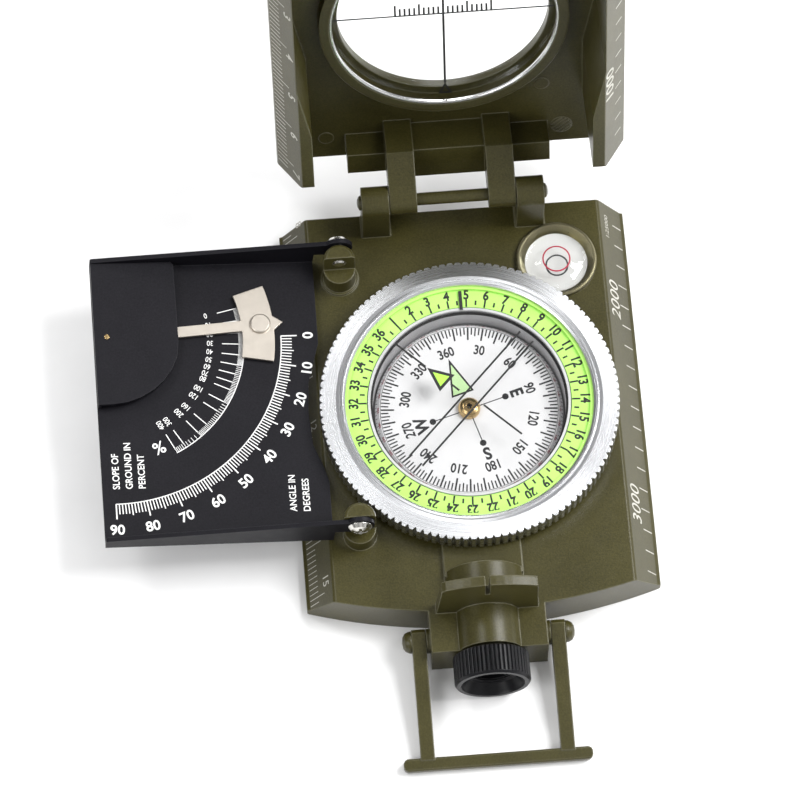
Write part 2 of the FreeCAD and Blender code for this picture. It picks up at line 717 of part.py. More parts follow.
def lid_hinge_parts():
    """Cross bar, web and the two knuckled arms."""
    root, web_top = dim.lid_face_h - 0.5, dim.lid_face_h + 6.9
    web_half = dim.arm_in + 0.5
    parts = [box(-dim.bar_half, dim.bar_half, -0.2, 4.4, root, dim.lid_face_h + 5.46),
             box(-web_half, web_half, -0.7, 6.2, root, web_top),
             cylinder(dim.window_collar_r, dim.window_collar_h - dim.lid_back_h,
                      0, dim.window_s, dim.lid_back_h)]
    arm = [(1.9, 1.62), (7.2, -5.1), (7.2, root), (-0.7, root), (-0.7, web_top),
           (-2.3, -0.9)]                        # distance from hinge, height
    arm_width = dim.arm_out - dim.arm_in
    for side in SIDES:
        x0 = span(side, dim.arm_in, dim.arm_out)[0]
        parts.append(prism(arm, arm_width, x0, 0, 0, SECTION_YZ))
        parts.append(cylinder(dim.knuckle_r, arm_width, x0, 0, 0, ALONG_X))
    return parts


def lid_marks():
    """Raised discs on the inner face, the last one crossed by slanting strips."""
    face = dim.lid_face_h
    parts = [cylinder(radius, 0.2, x, y, face - 0.1) for radius, x, y in LID_DISCS]
    strip_x, strip_y = LID_DISCS[-1][1:]
    circle_r, pitch, half_width = 1.75, 0.62, 0.13
    slant = Rotation(Vector(0, 0, 1), 40)
    for k in range(-2, 3):
        middle = pitch * k
        half = math.sqrt(circle_r ** 2 - middle ** 2)
        strip = [(-half, middle - half_width), (half, middle - half_width),
                 (half, middle + half_width), (-half, middle + half_width)]
        parts.append(prism(strip, 0.22, strip_x, strip_y, face, slant))
    return parts


def lid_cutters():
    rim, side_reach = dim.rim_h, dim.lid_half + 1
    # thins the side walls from the inside; x, distance from hinge
    thinning = [(dim.flange_in - 0.5, 22), (dim.flange_thin, 36),
                (dim.flange_thin, END_WALL_S), (dim.flange_in - 0.5, END_WALL_S)]
    cutters = [prism(points, rim - dim.lid_face_h + 2, 0, 0, dim.lid_face_h)
               for points in (thinning, mirror_x(thinning))]
    cutters.append(cylinder(dim.window_clear_r, 12, 0, dim.window_s, dim.lid_back_h - 1))
    cutters.append(cylinder(dim.window_hole_r, 12, 0, dim.window_s, dim.window_ledge_h))
    # breaks the rim corner of the side walls at the hinge end
    start = dim.flange_s
    corner = [(start - 1, rim - 0.7), (start, rim - 0.7), (start + 0.2, rim - 0.25),
              (start + 0.7, rim), (start + 0.7, rim + 1), (start - 1, rim + 1)]
    cutters.append(prism(corner, side_reach * 2, -side_reach, 0, 0, SECTION_YZ))
    cutters.append(cylinder(dim.pin_r + 0.06, 40, -20, 0, 0, ALONG_X))
    # notch in the -X wall, at the distance of the clinometer's front flange
    notch_s = dim.hinge_y - dim.plate_front
    cutters.append(box(-side_reach, -dim.flange_in, notch_s - 1.9, notch_s + 1.1,
                       -1.3, rim + 1))
    return cutters


def lid_casting():
    solid = fuse(*lid_walls(), *lid_hinge_parts(), *lid_marks())
    lid = cut(solid, *lid_cutters(), label="lid_casting")
    return locate_turned(lid, 0, dim.hinge_y, dim.hinge_z, Vector(1, 0, 0), dim.lid_tilt)


def lid_lens_ring():
    hole, top = dim.window_hole_r, dim.window_collar_h - 0.05
    body = turned("lid_lens_ring", [
        (hole - 0.5, top - 0.7), (hole - 0.02, top - 0.7), (hole - 0.02, top - 0.1),
        (hole - 0.15, top), (hole - 0.42, top), (hole - 0.58, top - 0.14),
        (hole - 0.58, top - 0.56)])
    return put(body, LID_WINDOW)


def lid_lens():
    ledge = dim.window_ledge_h
    return put(ring("lid_lens", 0, dim.lens_r, ledge + 0.02, ledge + dim.lens_thick),
               LID_WINDOW)


# ======================================================================
# Clinometer.  Local frame: origin on the folding axis, plate level at angle 0.
# ======================================================================
CLINO_FRAME = Placement(Vector(-mm.post_x, 0, mm.clino_z),
                        Rotation(Vector(0, 1, 0), mm.clino_tilt))
PENDULUM_FRAME = offset(CLINO_FRAME, mm.pivot_x, mm.pivot_y,
                        mm.plate_under + mm.plate_thick + 0.3,
                        Rotation(Vector(0, 0, 1), mm.pendulum_rest))
PENDULUM_THICK = 0.6


def clino_plate():
    """Plate with an upturned flange and ear at the front and the rear."""
    left, right, under = dim.plate_left, dim.plate_right, dim.plate_under
    rear, front, thick = dim.plate_rear, dim.plate_front, dim.plate_thick
    plan = [(left, front), (left, rear), (right, rear), (right - 0.1, 14.5),
            (right - 2.4, 6.8), (right - 2.8, 1.0), (right - 2.4, -5.3),
            (right - 0.8, -9.5), (right, -12.4), (right, front)]
    axis_h = dim.flange_end_h - dim.flange_slope * left     # flange height at the axis
    flange = [                                  # x, height
        (left, under), (right, under), (right, -2.6), (0.0, -2.6), (0.9, -1.2), (0.9, 1.2),
        (0.0, axis_h), (left + 0.3, dim.flange_end_h), (left, dim.flange_end_h - 0.3)]
    solid = fuse(prism(plan, thick, 0, 0, under),
                 prism(flange, thick, 0, rear, 0, SECTION_XZ),
                 prism(flange, thick, 0, front + thick, 0, SECTION_XZ),
                 cylinder(dim.ear_r, thick, 0, rear - thick, 0, ALONG_Y),
                 cylinder(dim.ear_r, thick, 0, front, 0, ALONG_Y))
    plate = cut(solid, cylinder(dim.ear_hole_r, 80, 0, -40, 0, ALONG_Y),
                cylinder(0.52, 4, dim.pivot_x, dim.pivot_y, under - 1),
                label="clino_plate")
    return locate_turned(plate, -dim.post_x, 0, dim.clino_z,
                         Vector(0, 1, 0), dim.clino_tilt)


def clino_cover():
    """Round-ended cover over the pendulum pivot, with a skirt on two edges."""
    left, rear = dim.plate_left + 0.05, dim.plate_rear - 0.9
    right, front = dim.pivot_x + dim.cover_r, dim.pivot_y - dim.cover_r
    plan = [(left, rear), (right - 0.9, rear), (right - 0.4, rear - 0.6),
            (right - 0.3, 15.0)]
    for k in range(1, 8):
        angle = math.radians(-7 - 11.6 * k)
        plan.append((dim.pivot_x + dim.cover_r * math.cos(angle),
                     dim.pivot_y + dim.cover_r * math.sin(angle)))
    plan.append((left, front))
    skirt_z = (dim.plate_under + dim.plate_thick + 0.01, dim.cover_under + 0.1)
    solid = fuse(prism(plan, dim.cover_sheet, 0, 0, dim.cover_under),
                 box(left, dim.pivot_x + 6, rear - 0.8, rear, *skirt_z),
                 box(left, left + 0.6, front, rear, *skirt_z))
    hole = cylinder(0.54, 8, dim.pivot_x, dim.pivot_y, -8)
    return put(cut(solid, hole, label="clino_cover"), CLINO_FRAME)


def clino_pivot():
    top = dim.cover_under + dim.cover_sheet
    pin = turned("clino_pivot", [
        (0, dim.plate_under), (0.5, dim.plate_under), (0.5, top), (0.42, top + 0.12),
        (0, top + 0.16)])
    return put(pin, offset(CLINO_FRAME, mm.pivot_x, mm.pivot_y))


def polar(radius, angle):
    return Vector(radius * math.cos(angle), radius * math.sin(angle), 0)


def arc(radius, start, end):
    return Part.Arc(polar(radius, start), polar(radius, (start + end) / 2.0),
                    polar(radius, end)).toShape()


def clino_pendulum():
    """Hub, arm and fan with a pointed tip; local origin on the pivot, arm along +X."""
    half, inner, outer = math.radians(mm.fan_half), mm.fan_in, mm.fan_out
    tip = Vector(mm.fan_tip, 0, 0)
    tip_half = math.radians(2.6)
    edges = [Part.makeLine(polar(inner, half), polar(outer, half)),
             arc(outer, half, tip_half),
             Part.makeLine(polar(outer, tip_half), tip),
             Part.makeLine(tip, polar(outer, -tip_half)),
             arc(outer, -tip_half, -half),
             Part.makeLine(polar(outer, -half), polar(inner, -half)),
             arc(inner, -half, half)]
    fan = Part.Face(Part.Wire(edges)).extrude(Vector(0, 0, PENDULUM_THICK))
    arm = Part.makeBox(inner + 1.2, 2.0, PENDULUM_THICK, Vector(0, -1.0, 0))
    hub = Part.makeCylinder(1.35, PENDULUM_THICK)
    bore = Part.makeCylinder(0.58, 3, Vector(0, 0, -1))
    shape = fan.fuse(arm).fuse(hub).removeSplitter().cut(bore)
    return put(computed("clino_pendulum", shape), PENDULUM_FRAME)


def clino_weight():
    bottom = PENDULUM_THICK + 0.01
    weight = turned("clino_weight", [
        (0, bottom), (1.85, bottom), (1.85, 1.0), (1.6, 1.2), (0, 1.2)])
    return put(weight, offset(PENDULUM_FRAME, 28.0))


def fold_screw(face_y, reach, rotation):
    """Domed, cross-slotted head outside a flange; the shank runs into the post."""
    screw = revolved([
        (0, -1.25), (0.9, -1.15), (1.7, -0.75), (2.2, -0.1), (2.2, 0.0), (1.18, 0.0),
        (1.18, reach), (0.85, 4.15), (0, 4.15)])
    long_half, short_half = SLOT_LENGTH / 2, SLOT_WIDTH / 2
    slot = Part.makeBox(SLOT_LENGTH, SLOT_WIDTH, 1.0, Vector(-long_half, -short_half, -1.7))
    slot = slot.fuse(Part.makeBox(SLOT_WIDTH, SLOT_LENGTH, 1.0,
                                  Vector(-short_half, -long_half, -1.7)))
    screw = screw.cut(slot)
    return put(screw, Placement(Vector(-mm.post_x, face_y, mm.clino_z), rotation))


def clino_screws():
    gap = 0.08                                  # between head and flange
    return computed("clino_screws", Part.makeCompound([
        fold_screw(mm.plate_front - gap, 3.9, ALONG_Y),
        fold_screw(mm.plate_rear + gap, 3.85, AGAINST_Y)]))


# ======================================================================
# Thumb loop.  Local frame: origin on its pivot line, arms along -Y.
# ======================================================================
def thumb_loop():
    end_y = -dim.loop_len
    # upper halves of the arm and bar sections: y, z
    arm = [(end_y + 0.7, 1.2), (-12.0, 1.35), (1.3, 1.95), (2.0, 1.3)]
    bar = [(end_y - 1.1, 0.7), (end_y - 0.8, 1.0), (end_y + 0.9, 1.0), (end_y + 1.2, 0.7)]
    arms = []
    for side in SIDES:
        x0, x1 = span(side, dim.loop_in, dim.loop_out)
        arms.append(prism(mirror_y(arm) + arm[::-1], x1 - x0, x0, 0, 0, SECTION_YZ))
    cross_bar = prism(mirror_y(bar) + bar[::-1], dim.bar_end * 2,
                      -dim.bar_end, 0, 0, SECTION_YZ)
    # rounded ends of the cross bar, in plan
    end_x, middle_y = dim.bar_end, end_y + 0.05
    plan = []
    for side_x, side_y in ((1, 1), (-1, 1), (-1, -1), (1, -1)):
        corner = [((end_x - inset) * side_x, middle_y + width * side_y)
                  for inset, width in ((0, 0.4), (0.25, 0.85), (0.8, 1.2))]
        plan += corner if side_x * side_y > 0 else corner[::-1]
    cross_bar = common(cross_bar, prism(plan, 4, 0, 0, -2))
    loop = cut(fuse(cross_bar, *arms), cylinder(1.28, 40, -20, 0, 0, ALONG_X),
               label="thumb_loop")
    return locate_turned(loop, 0, -dim.loop_y, dim.loop_z, Vector(1, 0, 0), dim.loop_drop)


def loop_rivets():
    """Domed rivets, their heads outside the loop arms."""
    shank = 5.55
    start_x = mm.loop_out + 0.05 - shank
    rivets = []
    for side in SIDES:
        rivet = revolved([(0, 0), (1.2, 0), (1.2, shank), (2.0, shank), (1.92, 6.1),
                          (1.6, 6.7), (1.0, 7.1), (0, 7.25)])
        rivets.append(put(rivet, Placement(Vector(side * start_x, -mm.loop_y, mm.loop_z),
                                           Rotation(Vector(0, 1, 0), 90 * side))))
    return computed("loop_rivets", Part.makeCompound(rivets))


# ======================================================================
# Eyepiece.  Heights in the profiles are distances along -Y from the dial axis.
# ======================================================================
LENS_BACK, LENS_FRONT = 45.3, 47.2
LENS_EDGE_R = 3.15
LENS_SPHERE_R = 7


def at_eye(body):
    return locate(body, 0, 0, dim.eye_z, AGAINST_Y)


def eyepiece_barrel():
    bore_r, start, end = 2.6, 39.0, 49.55
    return at_eye(turned("eyepiece_barrel", [
        (bore_r, start), (dim.barrel_r, start), (dim.barrel_r, end - 0.15), (3.9, end),
        (dim.barrel_in_r, end), (dim.barrel_in_r, LENS_BACK), (bore_r, LENS_BACK)]))


def eyepiece_lens():
    """Lens convex on both sides."""
    steps = 5
    curve = []                                  # radius, depth of the curved face there
    for k in range(steps + 1):
        radius = LENS_EDGE_R * k / steps
        sphere_depth = LENS_SPHERE_R - math.sqrt(LENS_SPHERE_R ** 2 - radius * radius)
        curve.append((radius, sphere_depth * 0.9))
    back = [(radius, LENS_BACK + 0.08 + depth) for radius, depth in curve[1:]]
    front = [(radius, LENS_FRONT - depth) for radius, depth in curve[::-1]]
    return at_eye(turned("eyepiece_lens", [(0, LENS_BACK)] + back + front))


def eyepiece_retainer():
    return at_eye(turned("eyepiece_retainer", [
        (2.5, 46.9), (3.17, 46.62), (3.17, 47.7), (2.5, 47.7)]))


def eyepiece_ring():
    """Knurled ring with a dished front."""
    outer, rear, front = mm.eye_r, mm.eye_rear_y, mm.eye_front_y
    bore = mm.barrel_r + 0.05
    body = revolved([
        (bore, rear), (outer - 0.5, rear), (outer + 0.1, rear + 0.4),
        (outer + 0.1, front - 0.55), (outer - 0.35, front), (outer - 1.1, front),
        (outer - 1.25, front - 0.35), (4.6, front - 1.9), (3.5, front - 2.05),
        (3.5, front - 2.2), (bore, front - 2.2)])
    plain = 0.5                                 # unknurled length at the front
    knurl = knurled(outer, outer - 0.34, teeth=54, bottom=rear, height=front - rear - plain)
    band = Part.makeCylinder(outer - 0.02, plain, Vector(0, 0, front - plain))
    return put(computed("eyepiece_ring", body.common(knurl.fuse(band))),
               Placement(Vector(0, 0, mm.eye_z), AGAINST_Y))


# ======================================================================
# Build and export
# ======================================================================
BUILDERS = [
    base_casting, bottom_cover, bottom_screws, tripod_bush,
    level_cup, level_dial, level_glass,
    capsule_housing, capsule_window, capsule_seal, capsule_glass, pivot_post, pivot_pin,
    index_pointer, bezel_spring,
    compass_card, card_magnet, card_hub, card_jewel,
    bezel_ring, dial_ring, bezel_glass, hinge_pin,
    lid_casting, lid_lens_ring, lid_lens,
    clino_plate, clino_cover, clino_pivot, clino_pendulum, clino_weight, clino_screws,
    thumb_loop, loop_rivets,
    eyepiece_barrel, eyepiece_lens, eyepiece_retainer, eyepiece_ring,
]
pieces = [build() for build in BUILDERS]
doc.recompute()

broken = [obj.Name for obj in doc.Objects if "Invalid" in obj.State or "Error" in obj.State]
if broken:
    raise RuntimeError("broken objects: %s" % broken)
for piece in pieces:
    shape = piece.Shape
    if shape.isNull() or not shape.isValid() or not shape.Solids:
        raise RuntimeError("bad shape: " + piece.Label)
for piece in pieces:
    piece.Shape.exportStep("parts/%s.step" % piece.Label)
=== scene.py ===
"""Finishes, printed marks and studio for a sighting compass with a lid and a clinometer.

The case lies flat on the floor (+Z up) with its dial facing up.  The lid is hinged at the
+Y end and stands open, and the clinometer plate reaches out at -X.  Left means -X and
right +X.  Printed marks are laid out in millimetres and everything else is in metres.
"""
import functools
import math
import bpy
import bmesh
from mathutils import Matrix, Vector


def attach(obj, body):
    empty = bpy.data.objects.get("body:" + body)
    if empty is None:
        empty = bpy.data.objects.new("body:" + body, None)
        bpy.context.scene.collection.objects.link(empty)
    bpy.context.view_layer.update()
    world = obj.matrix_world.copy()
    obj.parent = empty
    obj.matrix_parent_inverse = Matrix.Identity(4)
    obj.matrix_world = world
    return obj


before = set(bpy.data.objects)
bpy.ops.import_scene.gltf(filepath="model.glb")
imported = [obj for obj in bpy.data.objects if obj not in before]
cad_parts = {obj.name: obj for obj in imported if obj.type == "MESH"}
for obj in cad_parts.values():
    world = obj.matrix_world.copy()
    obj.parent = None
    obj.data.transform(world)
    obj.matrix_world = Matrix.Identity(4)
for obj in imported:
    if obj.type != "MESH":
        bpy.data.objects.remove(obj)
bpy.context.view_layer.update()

MM = 0.001
scene = bpy.context.scene


# ------------------------------------------------------------------ node helpers
def feed(tree, socket, value):
    """Link a socket to another socket, or give it a plain value."""
    if isinstance(value, bpy.types.NodeSocket):
        tree.links.new(value, socket)
    else:
        socket.default_value = value


def node(tree, kind, inputs=None, **settings):
    """Add a node; settings come first because they decide which sockets are live."""
    made = tree.nodes.new(kind)
    for key, value in settings.items():
        setattr(made, key, value)
    for key, value in (inputs or {}).items():
        feed(tree, made.inputs[key], value)
    return made


def calc(tree, operation, first, second):
    return node(tree, "ShaderNodeMath", {0: first, 1: second}, operation=operation).outputs[0]


def noise(tree, scale, detail=3.0, rough=0.55, vector=None):
    if vector is None:
        vector = node(tree, "ShaderNodeTexCoord").outputs["Object"]
    values = {"Scale": scale, "Detail": detail, "Roughness": rough, "Vector": vector}
    return node(tree, "ShaderNodeTexNoise", values).outputs["Fac"]


def ramp(tree, factor, stops):
    """Colour ramp through (position, colour) stops."""
    made = node(tree, "ShaderNodeValToRGB", {"Fac": factor})
    elements = made.color_ramp.elements
    while len(elements) < len(stops):
        elements.new(0.5)
    for element, (position, color) in zip(elements, stops):
        element.position = position
        element.color = (*color, 1)
    return made.outputs["Color"]


def span(tree, value, low, high, start=0.0, end=1.0):
    """Map start..end on to low..high."""
    values = {"Value": value, "From Min": start, "From Max": end, "To Min": low, "To Max": high}
    return node(tree, "ShaderNodeMapRange", values).outputs["Result"]


def clouds(tree, scale, detail, dark, light):
    """Soft patches between two colours."""
    return ramp(tree, noise(tree, scale, detail), [(0.3, dark), (0.7, light)])


def edge_normal(tree, radius, samples=4):
    return node(tree, "ShaderNodeBevel", {"Radius": radius}, samples=samples).outputs["Normal"]


def bump(tree, height, strength, distance, normal=None):
    values = {"Strength": strength, "Distance": distance, "Height": height}
    if normal is not None:
        values["Normal"] = normal
    return node(tree, "ShaderNodeBump", values).outputs["Normal"]


def mix_shaders(tree, factor, first, second):
    inputs = {0: factor, 1: first.outputs[0], 2: second.outputs[0]}
    return node(tree, "ShaderNodeMixShader", inputs)


def shade(color, factor):
    return tuple(c * factor for c in color)


# ------------------------------------------------------------------ material kinds
def new_material(name):
    material = bpy.data.materials.new(name)
    material.use_nodes = True
    material.node_tree.nodes.clear()
    return material, material.node_tree


def finish(material, shader):
    node(material.node_tree, "ShaderNodeOutputMaterial", {"Surface": shader.outputs[0]})
    return material


def painted(name, dark, light, rough, grain, strength, edge, spec, wear_and_highlight=None):
    """Satin paint: orange peel, faint cloudiness, and edges lightened partly as rubbed paint and
    partly as a painted highlight.
    """
    material, tree = new_material(name)
    broad = span(tree, noise(tree, scale=90.0, detail=4.0), low=0.0, high=0.4)
    fine = span(tree, noise(tree, scale=3200.0, detail=2.0), low=0.0, high=0.6)
    color = ramp(tree, calc(tree, "ADD", broad, fine), [(0.34, dark), (0.66, light)])
    rounded = edge_normal(tree, edge, samples=6)
    if wear_and_highlight is not None:
        # Edges take a lighter colour, partly rubbed paint and partly a painted highlight: an
        # edge shows where the rounded normal turns away from the true one.
        true = node(tree, "ShaderNodeNewGeometry").outputs["Normal"]
        dot = node(tree, "ShaderNodeVectorMath", {0: rounded, 1: true}, operation="DOT_PRODUCT")
        rub_and_highlight = span(tree, dot.outputs["Value"], low=0.0, high=1.0, start=0.99, end=0.82)
        patches = span(tree, noise(tree, scale=260.0), low=0.25, high=1.0)
        inputs = {"Factor": calc(tree, "MULTIPLY", rub_and_highlight, patches), "A": color, "B": (*wear_and_highlight, 1)}
        color = node(tree, "ShaderNodeMix", inputs, data_type="RGBA").outputs["Result"]
    peel = noise(tree, grain, detail=2.0)
    return finish(material, node(tree, "ShaderNodeBsdfPrincipled", {
        "Base Color": color,
        "Roughness": span(tree, noise(tree, scale=400.0, detail=2.0), *rough),
        "Specular IOR Level": spec,
        "Normal": bump(tree, peel, strength, distance=0.00006, normal=rounded),
    }))


def lathe_rings(tree, coordinates, density):
    """Noise drawn out into rings about Z, from radius, angle and height."""
    split = node(tree, "ShaderNodeSeparateXYZ", {0: coordinates}).outputs
    flat_point = node(tree, "ShaderNodeCombineXYZ", {"X": split["X"], "Y": split["Y"]})
    radius = node(tree, "ShaderNodeVectorMath", {0: flat_point.outputs[0]}, operation="LENGTH")
    angle = calc(tree, "ARCTAN2", split["Y"], split["X"])
    polar = node(tree, "ShaderNodeCombineXYZ", {
        "X": calc(tree, "MULTIPLY", radius.outputs["Value"], density),
        "Y": calc(tree, "MULTIPLY", angle, 1.3),  # slow change around each ring
        "Z": calc(tree, "MULTIPLY", split["Z"], density * 0.4),
    })
    return noise(tree, scale=1.0, detail=4.0, rough=0.6, vector=polar.outputs[0])


def metal(name, color, rough, strength, grain=1800.0, edge=0.0002, stain=0.06,
          ring_density=0.0, aniso=0.0):
    """Plated or machined metal; a ring density above zero adds lathe rings about Z."""
    material, tree = new_material(name)
    coordinates = node(tree, "ShaderNodeTexCoord").outputs["Object"]
    if ring_density:
        fine = lathe_rings(tree, coordinates, ring_density)
    else:
        mapping = node(tree, "ShaderNodeMapping", {"Vector": coordinates})
        fine = noise(tree, grain, rough=0.6, vector=mapping.outputs["Vector"])
    values = {
        "Metallic": 1.0,
        "Base Color": clouds(tree, 220.0, 3.0, dark=shade(color, 1 - stain), light=color),
        "Roughness": span(tree, fine, *rough),
        "Normal": bump(tree, fine, strength, distance=0.00004, normal=edge_normal(tree, edge)),
    }
    if aniso:
        values["Anisotropic"] = aniso
        tangent = node(tree, "ShaderNodeTangent", direction_type="RADIAL", axis="Z")
        values["Tangent"] = tangent.outputs["Tangent"]
    return finish(material, node(tree, "ShaderNodeBsdfPrincipled", values))


def plastic(name, dark, light, rough, grain=1500.0, strength=0.05, emit=0.0):
    material, tree = new_material(name)
    color = clouds(tree, 160.0, 3.0, dark, light)
    values = {
        "Base Color": color,
        "Roughness": span(tree, noise(tree, scale=700.0, detail=2.0), *rough),
        "Normal": bump(tree, noise(tree, grain, detail=2.0), strength, distance=0.00003),
    }
    if emit:
        values["Emission Color"] = color
        values["Emission Strength"] = emit
    return finish(material, node(tree, "ShaderNodeBsdfPrincipled", values))


def pane(name, tint, reflection):
    """Thin flat glass: clear body, angle-dependent reflection with faint smears."""
    material, tree = new_material(name)
    color = clouds(tree, 120.0, 2.0, dark=shade(tint, 0.985), light=tint)
    clear = node(tree, "ShaderNodeBsdfTransparent", {"Color": color})
    smears = span(tree, noise(tree, scale=300.0), low=0.0, high=0.04)
    glossy = node(tree, "ShaderNodeBsdfGlossy", {"Roughness": smears})
    fresnel = node(tree, "ShaderNodeFresnel", {"IOR": 1.28}).outputs[0]
    # Shadow rays get no reflection, so light passes through.
    shadow = node(tree, "ShaderNodeLightPath").outputs["Is Shadow Ray"]
    allowed = calc(tree, "MAXIMUM", calc(tree, "SUBTRACT", reflection, shadow), 0.0)
    factor = calc(tree, "MULTIPLY", fresnel, allowed)
    return finish(material, mix_shaders(tree, factor, clear, glossy))


def thick_glass(name, ior):
    """Refracting glass that is plainly transparent to shadow and diffuse rays."""
    material, tree = new_material(name)
    tint = (0.98, 0.99, 0.985)
    glass = node(tree, "ShaderNodeBsdfPrincipled", {
        "Transmission Weight": 1.0,
        "IOR": ior,
        "Base Color": clouds(tree, 200.0, 2.0, dark=shade(tint, 0.98), light=tint),
        "Roughness": span(tree, noise(tree, scale=500.0, detail=2.0), low=0.0, high=0.03),
    })
    rays = node(tree, "ShaderNodeLightPath").outputs
    clear = node(tree, "ShaderNodeBsdfTransparent")
    skip = calc(tree, "MAXIMUM", rays["Is Shadow Ray"], rays["Is Diffuse Ray"])
    return finish(material, mix_shaders(tree, skip, glass, clear))


# ------------------------------------------------------------------ materials
# The lighter edge colours below are partly rubbed paint and partly a painted highlight along the
# edges.
OLIVE = painted("olive_paint", dark=(0.031, 0.0275, 0.0062), light=(0.059, 0.0522, 0.0148),
                rough=(0.27, 0.36), grain=3600.0, strength=0.42, edge=0.00038, spec=0.36,
                wear_and_highlight=(0.21, 0.20, 0.13))
BLACK = painted("black_paint", dark=(0.0045, 0.0042, 0.0062), light=(0.0092, 0.0088, 0.0118),
                rough=(0.42, 0.52), grain=4200.0, strength=0.30, edge=0.0002, spec=0.15,
                wear_and_highlight=(0.035, 0.035, 0.04))
ANODISED = painted("black_anodised", dark=(0.004, 0.004, 0.005), light=(0.007, 0.007, 0.0085),
                   rough=(0.26, 0.38), grain=2600.0, strength=0.1, edge=0.00015, spec=0.2)
BEZEL = metal("bezel_aluminium", color=(0.72, 0.73, 0.75), rough=(0.18, 0.38), strength=0.14,
              edge=0.00012, ring_density=9000.0, aniso=0.8)
SILVER = metal("ring_aluminium", color=(0.74, 0.74, 0.74), rough=(0.16, 0.28), grain=1500.0,
               strength=0.05)
NICKEL = metal("satin_nickel", color=(0.60, 0.55, 0.485), rough=(0.34, 0.50), grain=2600.0,
               strength=0.2, stain=0.14)
CUP = metal("level_cup_metal", color=(0.30, 0.275, 0.17), rough=(0.22, 0.40), grain=2600.0,
            strength=0.2, stain=0.20)
BRIGHT = metal("bright_nickel", color=(0.66, 0.645, 0.61), rough=(0.12, 0.22), grain=1600.0,
               strength=0.05)
STEEL = metal("turned_steel", color=(0.62, 0.62, 0.61), rough=(0.2, 0.34), grain=1600.0,
              strength=0.08)
BRASS = metal("brass", color=(0.70, 0.50, 0.24), rough=(0.16, 0.3), grain=2400.0,
              strength=0.08, stain=0.15)
LUME = plastic("luminous_dial", dark=(0.43, 0.80, 0.15), light=(0.48, 0.86, 0.185),
               rough=(0.32, 0.42), emit=0.05)
CARD = plastic("card_white", dark=(0.78, 0.78, 0.785), light=(0.83, 0.83, 0.835),
               rough=(0.45, 0.6))
# The faint emission is a painted glow that lightens the capsule wall where it lies in shade.
CAPSULE = plastic("capsule_grey", dark=(0.50, 0.50, 0.51), light=(0.60, 0.60, 0.61),
                  rough=(0.35, 0.45), emit=0.02)
WHITE = plastic("level_white", dark=(0.56, 0.56, 0.55), light=(0.63, 0.63, 0.62),
                rough=(0.3, 0.45))
SEAL = plastic("seal_rubber", dark=(0.01, 0.01, 0.01), light=(0.018, 0.018, 0.018),
               rough=(0.6, 0.75))
PANE = pane("clear_pane", tint=(0.985, 0.985, 0.985), reflection=0.6)
LENS = pane("lid_pane", tint=(0.985, 0.99, 0.988), reflection=0.7)
DOME = thick_glass("level_dome_glass", ior=1.33)
OPTIC = thick_glass("optic_glass", ior=1.45)
INK_WHITE = plastic("ink_white", dark=(0.72, 0.72, 0.71), light=(0.86, 0.86, 0.85),
                    rough=(0.5, 0.65))
INK_GREY = plastic("ink_grey", dark=(0.40, 0.39, 0.34), light=(0.56, 0.55, 0.50),
                   rough=(0.5, 0.65))
INK_BLACK = plastic("ink_black", dark=(0.006, 0.006, 0.006), light=(0.014, 0.014, 0.014),
                    rough=(0.45, 0.6))
INK_CHARCOAL = plastic("ink_charcoal", dark=(0.010, 0.010, 0.011), light=(0.022, 0.022, 0.025),
                       rough=(0.45, 0.6))
INK_RED = plastic("ink_red", dark=(0.30, 0.006, 0.03), light=(0.40, 0.012, 0.045),
                  rough=(0.45, 0.6))
INK_LUME = plastic("ink_luminous", dark=(0.36, 0.80, 0.06), light=(0.42, 0.88, 0.09),
                   rough=(0.4, 0.5), emit=0.12)
INK_PALE = plastic("ink_pale_green", dark=(0.55, 0.80, 0.40), light=(0.62, 0.86, 0.46),
                   rough=(0.4, 0.5), emit=0.05)

PARTS_BY_MATERIAL = (
    (OLIVE, "base_casting lid_casting thumb_loop loop_rivets bottom_cover hinge_pin"),
    (BLACK, "clino_plate clino_cover"),
    (ANODISED, "eyepiece_barrel eyepiece_retainer eyepiece_ring"),
    (BEZEL, "bezel_ring"),
    (SILVER, "lid_lens_ring"),
    (NICKEL, "clino_pendulum clino_weight"),
    (CUP, "level_cup"),
    (BRIGHT, "clino_screws"),
    (STEEL, "bottom_screws pivot_pin bezel_spring card_magnet"),
    (BRASS, "tripod_bush pivot_post card_hub clino_pivot"),
    (LUME, "dial_ring"),
    (CARD, "compass_card"),
    (CAPSULE, "capsule_housing"),
    (WHITE, "level_dial"),
    (SEAL, "capsule_seal"),
    (PANE, "capsule_glass bezel_glass"),
    (LENS, "lid_lens"),
    (DOME, "level_glass"),
    (OPTIC, "capsule_window card_jewel eyepiece_lens"),
    (INK_BLACK, "index_pointer"),
)
MATERIAL_OF = {part: material for material, parts in PARTS_BY_MATERIAL for part in parts.split()}
for name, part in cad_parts.items():
    part.data.materials.clear()
    part.data.materials.append(MATERIAL_OF[name])

# ------------------------------------------------------------------ drawing printed marks
CAP_HEIGHT = 0.715  # of the built-in font at size 1


@functools.cache
def glyphs(words, bold, stretch):
    """Words as a closed solid of unit cap height, centred: vertices, faces, width."""
    curve = bpy.data.curves.new("tmp_text", "FONT")
    curve.body = words
    curve.size = 1.0
    curve.resolution_u = 4
    curve.extrude = 0.5
    curve.offset = bold
    holder = bpy.data.objects.new("tmp_text", curve)
    scene.collection.objects.link(holder)
    bpy.context.view_layer.update()
    evaluated = holder.evaluated_get(bpy.context.evaluated_depsgraph_get())
    mesh = bpy.data.meshes.new_from_object(evaluated)
    points = [v.co.copy() for v in mesh.vertices]
    faces = [tuple(p.vertices) for p in mesh.polygons]
    bpy.data.objects.remove(holder)
    bpy.data.curves.remove(curve)
    bpy.data.meshes.remove(mesh)
    left, right = min(p.x for p in points), max(p.x for p in points)
    middle = (left + right) / 2
    vertices = [((p.x - middle) / CAP_HEIGHT * stretch, p.y / CAP_HEIGHT - 0.5, p.z)
                for p in points]
    return vertices, faces, (right - left) / CAP_HEIGHT * stretch


